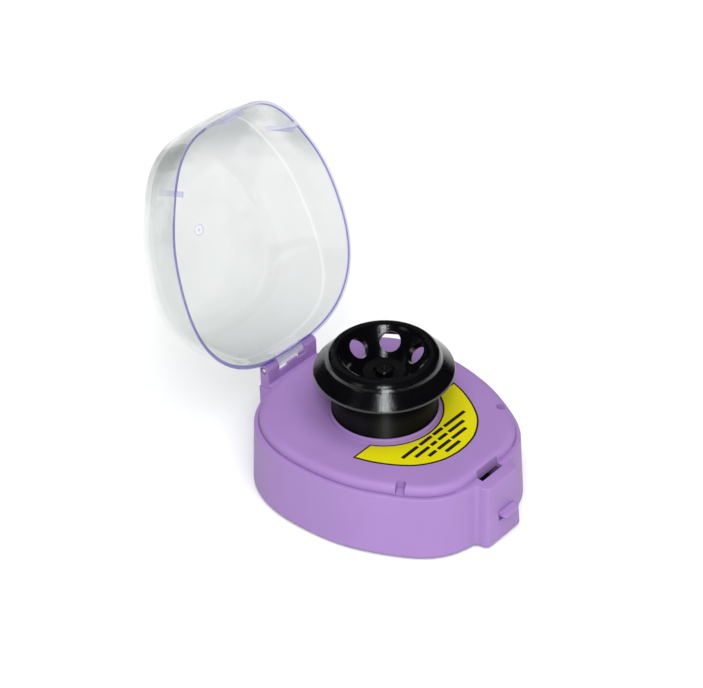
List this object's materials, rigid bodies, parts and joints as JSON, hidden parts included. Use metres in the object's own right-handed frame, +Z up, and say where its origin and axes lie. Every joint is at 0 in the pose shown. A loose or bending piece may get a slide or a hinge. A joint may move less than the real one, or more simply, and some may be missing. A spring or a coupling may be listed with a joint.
{
  "type": "microcentrifuge",
  "caption": "Bench mini centrifuge with an egg-shaped moulded body, a clear domed lid on a rear hinge and a fixed-angle rotor with slanted tube holes, shown with the lid open.",
  "frame": {"origin": "bottom centre of the bounding box with the lid open, on the plane the feet stand on", "axes": "+X to the right seen from the latch, +Y from the latch towards the hinge, +Z up along the rotor shaft"},
  "size_m": [0.1277, 0.2304, 0.1862],
  "materials": {
    "purple_housing": "satin moulded",
    "purple_cover": "fine matte",
    "clear_lid": "clear polycarbonate",
    "black_gloss": "glossy",
    "black_matte": "matte",
    "rubber_black": "matte",
    "steel": "brushed",
    "zinc_screw": "zinc plated",
    "brass": "bare",
    "label_yellow": "printed film",
    "magnet_grey": "sintered",
    "laminated_iron": "laminated",
    "board_green": "solder mask",
    "cream_plastic": "matte",
    "capacitor_blue": "sleeve"
  },
  "bodies": {
    "housing": {"base_housing": "purple_housing", "bottom_cover": "purple_cover", "label_plate": "label_yellow", "hinge_pin": "steel", "latch_pivot_pin": "steel", "latch_spring": "steel", "switch_body": "black_matte", "motor_can": "steel", "motor_end_cap": "black_matte", "motor_terminal_left": "brass", "motor_terminal_right": "brass", "motor_bushing": "brass", "motor_magnet": "magnet_grey", "motor_isolator": "rubber_black", "motor_screw_left": "zinc_screw", "motor_screw_right": "zinc_screw", "circuit_board": "board_green", "board_screw_left": "zinc_screw", "board_screw_right": "zinc_screw", "board_capacitor": "capacitor_blue", "board_connector": "cream_plastic", "power_inlet": "black_matte", "rocker_bezel": "black_matte", "foot_front_left": "rubber_black", "foot_front_right": "rubber_black", "foot_rear_left": "rubber_black", "foot_rear_right": "rubber_black", "cover_screw_front_left": "zinc_screw", "cover_screw_front_right": "zinc_screw", "cover_screw_rear_left": "zinc_screw", "cover_screw_rear_right": "zinc_screw"},
    "lid_cover": {"lid": "clear_lid"},
    "rotor_assembly": {"rotor": "black_gloss", "rotor_skirt": "black_gloss", "rotor_lock_cap": "black_gloss", "motor_shaft": "steel", "motor_armature": "laminated_iron"},
    "latch": {"latch_lever": "purple_housing"},
    "leaf": {"switch_leaf": "steel", "switch_plunger": "cream_plastic"},
    "rocker": {"rocker_button": "black_gloss"}
  },
  "joints": [
    {"name": "lid_hinge", "type": "hinge", "parent": "housing", "child": "lid_cover", "pos_m": [0, 0.04016, 0.04705], "axis": [1, 0, 0], "range_deg": [0, 108]},
    {"name": "rotor_spin", "type": "hinge", "parent": "housing", "child": "rotor_assembly", "pos_m": [0, -0.02964, 0.07], "axis": [0, 0, 1], "continuous": true},
    {"name": "latch_lever_pivot", "type": "hinge", "parent": "housing", "child": "latch", "pos_m": [0.0013, -0.10264, 0.0235], "axis": [1, 0, 0], "range_deg": [0, 9], "stiffness_Nm_per_rad": 0.6},
    {"name": "switch_leaf_pivot", "type": "hinge", "parent": "housing", "child": "leaf", "pos_m": [0, -0.09144, 0.032], "axis": [1, 0, 0], "range_deg": [0, 6], "stiffness_Nm_per_rad": 0.02},
    {"name": "power_rocker", "type": "hinge", "parent": "housing", "child": "rocker", "pos_m": [0.06058, -0.0027, 0.019], "axis": [0.2065, -0.9784, 0], "range_deg": [0, 12]}
  ]
}
